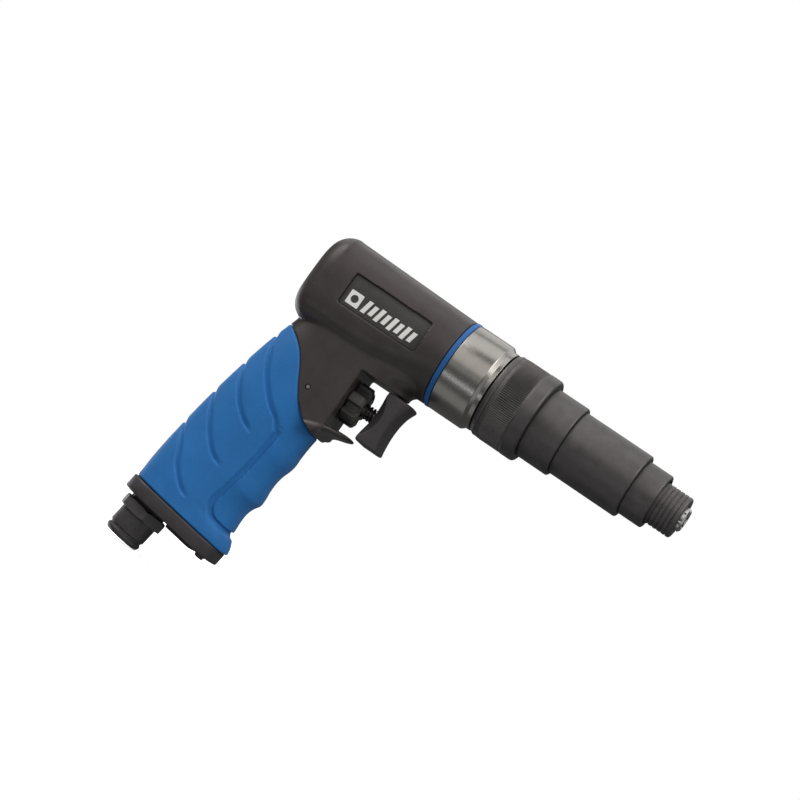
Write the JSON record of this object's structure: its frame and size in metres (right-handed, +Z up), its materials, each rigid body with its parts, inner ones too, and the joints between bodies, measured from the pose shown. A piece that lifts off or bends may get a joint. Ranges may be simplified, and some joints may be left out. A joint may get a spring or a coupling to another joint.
{
  "type": "pneumatic screwdriver",
  "caption": "Pistol-grip air screwdriver with vane motor, planetary gears, knurled torque collar, quick-change hexagon bit holder and reversing dial.",
  "frame": {"origin": "centre of the tool's bounding box at rest", "axes": "+X along the spindle towards the bit holder, +Z up from the grip to the motor housing, +Y to the tool's left side"},
  "size_m": [0.2222, 0.045, 0.1774],
  "materials": {
    "black_coat": "satin black coating on die-cast aluminium",
    "blue_rubber": "matt moulded rubber, fine grain",
    "black_oxide": "black oxide over turned steel, satin",
    "satin_steel": "turned steel, satin",
    "bright_steel": "ground steel",
    "black_plastic": "black moulded plastic, satin",
    "plate_grey": "dark grey plate, fine texture",
    "seal_rubber": "matt black",
    "felt": "pressed grey felt",
    "composite": "fibre-reinforced resin",
    "bronze": "sintered bronze"
  },
  "bodies": {
    "tool_body": {"base_screw": "black_oxide", "clutch_case": "black_oxide", "clutch_housing": "satin_steel", "clutch_spring": "bright_steel", "exhaust_deflector": "black_plastic", "exhaust_muffler": "felt", "front_bearing": "bright_steel", "front_end_plate": "bright_steel", "gasket_ring": "blue_rubber", "grip_sleeve": "blue_rubber", "handle_base": "black_plastic", "inlet_bushing": "black_oxide", "inlet_screen": "bright_steel", "inlet_seal": "seal_rubber", "motor_cylinder": "composite", "motor_housing": "black_coat", "nameplate": "plate_grey", "nose_cap": "black_oxide", "nose_sleeve": "black_oxide", "rear_bearing": "bright_steel", "rear_end_plate": "bright_steel", "ring_gear": "bright_steel", "spindle_bearing": "bright_steel", "spindle_bushing": "bronze", "throttle_seat": "bronze", "throttle_spring": "bright_steel", "trigger_spring": "black_plastic", "valve_pin": "bright_steel"},
    "trigger_body": {"trigger": "black_plastic", "throttle_stem": "satin_steel"},
    "reverse_valve": {"reverse_dial": "black_plastic", "reverse_spool": "bright_steel"},
    "motor_rotor": {"rotor": "satin_steel", "vane_1": "composite", "vane_2": "composite", "vane_3": "composite", "vane_4": "composite", "vane_5": "composite"},
    "carrier_1": {"stage1_carrier": "bright_steel", "stage1_pin_1": "bright_steel", "stage1_pin_2": "bright_steel", "stage1_pin_3": "bright_steel"},
    "carrier_2": {"stage2_carrier": "bright_steel", "stage2_pin_1": "bright_steel", "stage2_pin_2": "bright_steel", "stage2_pin_3": "bright_steel"},
    "clutch_cam": {"drive_cam": "bright_steel"},
    "output_spindle": {"spindle": "bright_steel", "spindle_clip": "bright_steel", "chuck_spring": "bright_steel", "retaining_ball": "bright_steel"},
    "bit_chuck": {"chuck_sleeve": "black_oxide"},
    "torque_collar": {"adjusting_collar": "black_oxide"},
    "torque_nut": {"adjusting_nut": "bronze"},
    "planet_1_1": {"stage1_planet_1": "bright_steel"},
    "planet_1_2": {"stage1_planet_2": "bright_steel"},
    "planet_1_3": {"stage1_planet_3": "bright_steel"},
    "planet_2_1": {"stage2_planet_1": "bright_steel"},
    "planet_2_2": {"stage2_planet_2": "bright_steel"},
    "planet_2_3": {"stage2_planet_3": "bright_steel"}
  },
  "joints": [
    {"name": "rotor_spin", "type": "hinge", "parent": "tool_body", "child": "motor_rotor", "pos_m": [0, 0, 0.06485], "axis": [1, 0, 0], "continuous": true},
    {"name": "carrier_1_spin", "type": "hinge", "parent": "tool_body", "child": "carrier_1", "pos_m": [0, 0, 0.06485], "axis": [1, 0, 0], "continuous": true},
    {"name": "carrier_2_spin", "type": "hinge", "parent": "tool_body", "child": "carrier_2", "pos_m": [0, 0, 0.06485], "axis": [1, 0, 0], "continuous": true},
    {"name": "spindle_spin", "type": "hinge", "parent": "tool_body", "child": "output_spindle", "pos_m": [0, 0, 0.06485], "axis": [1, 0, 0], "continuous": true},
    {"name": "planet_1_1_spin", "type": "hinge", "parent": "carrier_1", "child": "planet_1_1", "pos_m": [0, 0.0108, 0.06485], "axis": [1, 0, 0], "continuous": true},
    {"name": "planet_1_2_spin", "type": "hinge", "parent": "carrier_1", "child": "planet_1_2", "pos_m": [0, -0.0054, 0.0742], "axis": [1, 0, 0], "continuous": true},
    {"name": "planet_1_3_spin", "type": "hinge", "parent": "carrier_1", "child": "planet_1_3", "pos_m": [0, -0.0054, 0.0555], "axis": [1, 0, 0], "continuous": true},
    {"name": "planet_2_1_spin", "type": "hinge", "parent": "carrier_2", "child": "planet_2_1", "pos_m": [0, 0.0108, 0.06485], "axis": [1, 0, 0], "continuous": true},
    {"name": "planet_2_2_spin", "type": "hinge", "parent": "carrier_2", "child": "planet_2_2", "pos_m": [0, -0.0054, 0.0742], "axis": [1, 0, 0], "continuous": true},
    {"name": "planet_2_3_spin", "type": "hinge", "parent": "carrier_2", "child": "planet_2_3", "pos_m": [0, -0.0054, 0.0555], "axis": [1, 0, 0], "continuous": true},
    {"name": "trigger_pull", "type": "slide", "parent": "tool_body", "child": "trigger_body", "axis": [-1, 0, 0], "range_m": [0, 0.005], "stiffness_N_per_m": 1500, "springref_m": -0.003, "deforming": ["trigger_spring", "throttle_spring"]},
    {"name": "reverse_turn", "type": "hinge", "parent": "tool_body", "child": "reverse_valve", "pos_m": [0, 0, 0.02455], "axis": [1, 0, 0], "range_deg": [-40, 40]},
    {"name": "collar_turn", "type": "hinge", "parent": "tool_body", "child": "torque_collar", "pos_m": [0, 0, 0.06485], "axis": [1, 0, 0], "range_deg": [0, 1080]},
    {"name": "nut_travel", "type": "slide", "parent": "tool_body", "child": "torque_nut", "axis": [1, 0, 0], "range_m": [0, 0.0045]},
    {"name": "cam_slip", "type": "slide", "parent": "carrier_2", "child": "clutch_cam", "axis": [-1, 0, 0], "range_m": [0, 0.0026], "stiffness_N_per_m": 12000, "springref_m": -0.004, "deforming": ["clutch_spring"]},
    {"name": "chuck_pull", "type": "slide", "parent": "output_spindle", "child": "bit_chuck", "axis": [-1, 0, 0], "range_m": [0, 0.003], "stiffness_N_per_m": 1500, "springref_m": -0.003, "deforming": ["chuck_spring"]}
  ],
  "couplings": [
    {"joint": "carrier_1_spin", "follows": "rotor_spin", "ratio": 0.22222},
    {"joint": "carrier_2_spin", "follows": "rotor_spin", "ratio": 0.049383},
    {"joint": "spindle_spin", "follows": "rotor_spin", "ratio": 0.049383},
    {"joint": "planet_1_1_spin", "follows": "rotor_spin", "ratio": -0.62222},
    {"joint": "planet_1_2_spin", "follows": "rotor_spin", "ratio": -0.62222},
    {"joint": "planet_1_3_spin", "follows": "rotor_spin", "ratio": -0.62222},
    {"joint": "planet_2_1_spin", "follows": "rotor_spin", "ratio": -0.13827},
    {"joint": "planet_2_2_spin", "follows": "rotor_spin", "ratio": -0.13827},
    {"joint": "planet_2_3_spin", "follows": "rotor_spin", "ratio": -0.13827},
    {"joint": "nut_travel", "follows": "collar_turn", "m_per_rad": 0.00023873}
  ]
}
